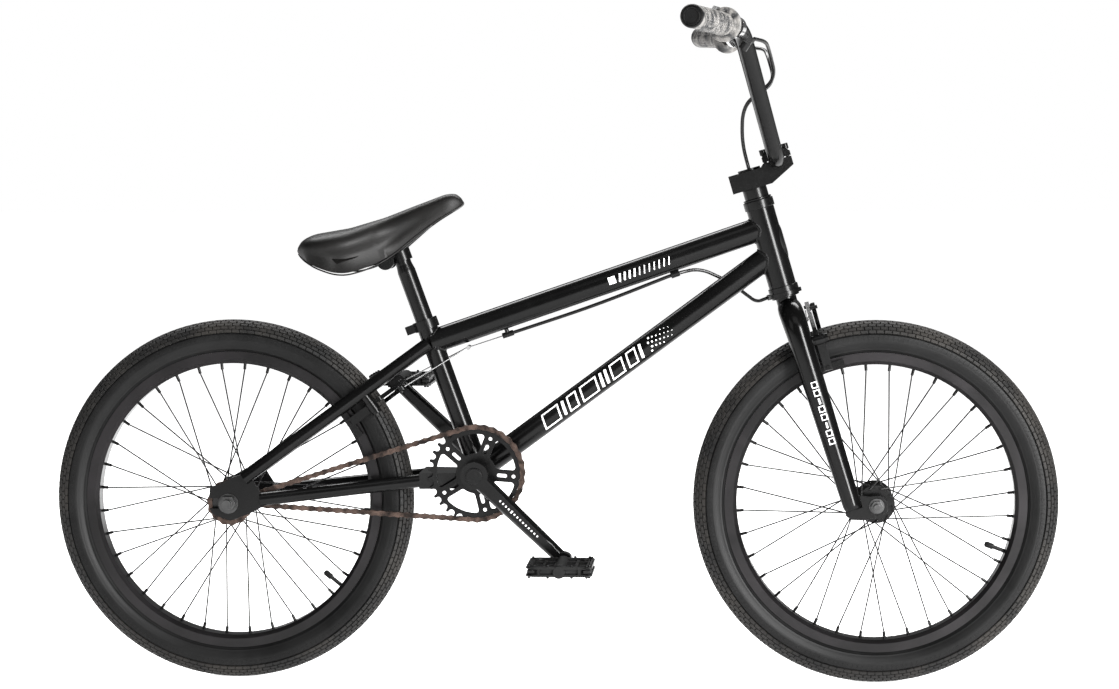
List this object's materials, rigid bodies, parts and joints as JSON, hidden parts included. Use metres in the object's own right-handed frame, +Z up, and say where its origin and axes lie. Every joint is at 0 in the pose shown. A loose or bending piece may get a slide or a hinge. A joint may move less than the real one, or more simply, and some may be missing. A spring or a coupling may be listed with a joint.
{
  "type": "bmx bike",
  "caption": "20 inch BMX bike with steering, spinning wheels, chain drive, freewheel driver, pedals, rim brakes and an adjustable seat",
  "frame": {"origin": "on the ground, midway between the two axles, in the centre plane", "axes": "+X forwards, +Z up, the drive side is -Y"},
  "size_m": [1.4028, 0.723, 0.9306],
  "materials": {
    "frame_paint": "satin black paint",
    "black_metal": "black coated metal",
    "bare_steel": "machined steel",
    "polished_alloy": "polished silver alloy",
    "rim_alloy": "black anodised alloy",
    "tyre_rubber": "matte black rubber with a brown cast",
    "grip_rubber": "marbled smoky grey rubber",
    "black_plastic": "moulded black plastic",
    "saddle_cover": "matte black leatherette",
    "chain_steel": "brown coated steel",
    "cable_housing": "black outer casing"
  },
  "bodies": {
    "frame": {"head_tube": "frame_paint", "top_tube": "frame_paint", "down_tube": "frame_paint", "seat_tube": "frame_paint", "bottom_bracket_shell": "frame_paint", "chain_stays": "frame_paint", "seat_stays": "frame_paint", "rear_dropouts": "frame_paint", "rear_brake_studs": "black_metal", "headset_cups": "black_metal", "frame_bearings": "bare_steel", "seat_clamp": "black_metal", "rear_cable_housing": "cable_housing", "rear_brake_wires": "bare_steel", "cable_stops": "black_metal", "chain_inner_links": "chain_steel", "chain_outer_links": "chain_steel", "rear_axle": "bare_steel"},
    "seat_post_body": {"seat_post": "black_metal", "rail_clamp_core": "black_metal"},
    "saddle_body": {"saddle": "saddle_cover", "saddle_rails": "black_metal", "rail_clamp_plates": "black_metal"},
    "steering_body": {"headset_races": "black_metal", "fork_steerer": "frame_paint", "fork_blades": "frame_paint", "fork_dropouts": "frame_paint", "stem": "black_metal", "stem_cap": "black_metal", "stem_bolts": "black_metal", "handlebar": "frame_paint", "grips": "grip_rubber", "bar_end_plugs": "black_plastic", "brake_lever_brackets": "polished_alloy", "lever_cable_housings": "cable_housing", "front_brake_wires": "bare_steel", "front_axle": "bare_steel", "front_brake_studs": "black_metal"},
    "front_wheel": {"front_tyre": "tyre_rubber", "front_rim": "rim_alloy", "front_spokes": "black_metal", "front_hub": "black_metal"},
    "rear_wheel": {"rear_tyre": "tyre_rubber", "rear_rim": "rim_alloy", "rear_spokes": "black_metal", "rear_hub": "black_metal"},
    "rear_driver": {"rear_cog": "black_metal"},
    "crankset": {"crank_spindle": "black_metal", "right_crank_arm": "frame_paint", "left_crank_arm": "frame_paint", "sprocket": "black_metal", "pedal_spindles": "bare_steel"},
    "right_pedal_body": {"right_pedal": "black_plastic"},
    "left_pedal_body": {"left_pedal": "black_plastic"},
    "right_lever": {"right_lever_blade": "black_metal"},
    "left_lever": {"left_lever_blade": "black_metal"},
    "front_right_arm": {"front_right_brake_arm": "black_metal"},
    "front_left_arm": {"front_left_brake_arm": "black_metal"},
    "rear_right_arm": {"rear_right_brake_arm": "black_metal"},
    "rear_left_arm": {"rear_left_brake_arm": "black_metal"}
  },
  "joints": [
    {"name": "seat_post_slide", "type": "slide", "parent": "frame", "child": "seat_post_body", "axis": [-0.3404, 0, 0.9403], "range_m": [-0.05, 0.06]},
    {"name": "saddle_tilt", "type": "hinge", "parent": "seat_post_body", "child": "saddle_body", "pos_m": [-0.23107, 0, 0.58814], "axis": [0, 1, 0], "range_deg": [-8, 8]},
    {"name": "steering", "type": "hinge", "parent": "frame", "child": "steering_body", "pos_m": [0.32304, 0, 0.54145], "axis": [-0.279, 0, 0.9603], "continuous": true},
    {"name": "front_wheel_spin", "type": "hinge", "parent": "steering_body", "child": "front_wheel", "pos_m": [0.4485, 0, 0.253], "axis": [0, 1, 0], "continuous": true},
    {"name": "rear_wheel_spin", "type": "hinge", "parent": "frame", "child": "rear_wheel", "pos_m": [-0.4485, 0, 0.253], "axis": [0, 1, 0], "continuous": true},
    {"name": "crank_spin", "type": "hinge", "parent": "frame", "child": "crankset", "pos_m": [-0.10369, 0, 0.295], "axis": [0, 1, 0], "continuous": true, "deforming": ["chain_inner_links", "chain_outer_links"]},
    {"name": "driver_spin", "type": "hinge", "parent": "frame", "child": "rear_driver", "pos_m": [-0.4485, 0, 0.253], "axis": [0, 1, 0], "continuous": true, "deforming": ["chain_inner_links", "chain_outer_links"]},
    {"name": "right_pedal_spin", "type": "hinge", "parent": "crankset", "child": "right_pedal_body", "pos_m": [0.01942, 0, 0.17776], "axis": [0, 1, 0], "continuous": true},
    {"name": "left_pedal_spin", "type": "hinge", "parent": "crankset", "child": "left_pedal_body", "pos_m": [-0.2268, 0, 0.41224], "axis": [0, 1, 0], "continuous": true},
    {"name": "right_lever_pull", "type": "hinge", "parent": "steering_body", "child": "right_lever", "pos_m": [0.27528, -0.20219, 0.88545], "axis": [-0.5647, 0.1449, -0.8124], "range_deg": [0, 18], "stiffness_Nm_per_rad": 1.5, "springref_deg": -11.46, "deforming": ["rear_brake_wires"]},
    {"name": "left_lever_pull", "type": "hinge", "parent": "steering_body", "child": "left_lever", "pos_m": [0.27528, 0.20219, 0.88545], "axis": [0.5647, 0.1449, 0.8124], "range_deg": [0, 18], "stiffness_Nm_per_rad": 1.5, "springref_deg": -11.46, "deforming": ["front_brake_wires"]},
    {"name": "front_right_arm_pivot", "type": "hinge", "parent": "steering_body", "child": "front_right_arm", "pos_m": [0.3707, -0.036, 0.48136], "axis": [0.9603, 0, 0.279], "range_deg": [0, 2.5], "deforming": ["front_brake_wires"]},
    {"name": "front_left_arm_pivot", "type": "hinge", "parent": "steering_body", "child": "front_left_arm", "pos_m": [0.3707, 0.036, 0.48136], "axis": [-0.9603, 0, -0.279], "range_deg": [0, 2.5], "deforming": ["front_brake_wires"]},
    {"name": "rear_right_arm_pivot", "type": "hinge", "parent": "frame", "child": "rear_right_arm", "pos_m": [-0.24875, -0.036, 0.38655], "axis": [0.5888, 0, -0.8083], "range_deg": [0, 2.5], "deforming": ["rear_brake_wires"]},
    {"name": "rear_left_arm_pivot", "type": "hinge", "parent": "frame", "child": "rear_left_arm", "pos_m": [-0.24875, 0.036, 0.38655], "axis": [-0.5888, 0, 0.8083], "range_deg": [0, 2.5], "deforming": ["rear_brake_wires"]}
  ],
  "couplings": [
    {"joint": "driver_spin", "follows": "crank_spin", "ratio": 2.2857},
    {"joint": "front_right_arm_pivot", "follows": "left_lever_pull", "ratio": 0.13889},
    {"joint": "front_left_arm_pivot", "follows": "left_lever_pull", "ratio": 0.13889},
    {"joint": "rear_right_arm_pivot", "follows": "right_lever_pull", "ratio": 0.13889},
    {"joint": "rear_left_arm_pivot", "follows": "right_lever_pull", "ratio": 0.13889}
  ]
}
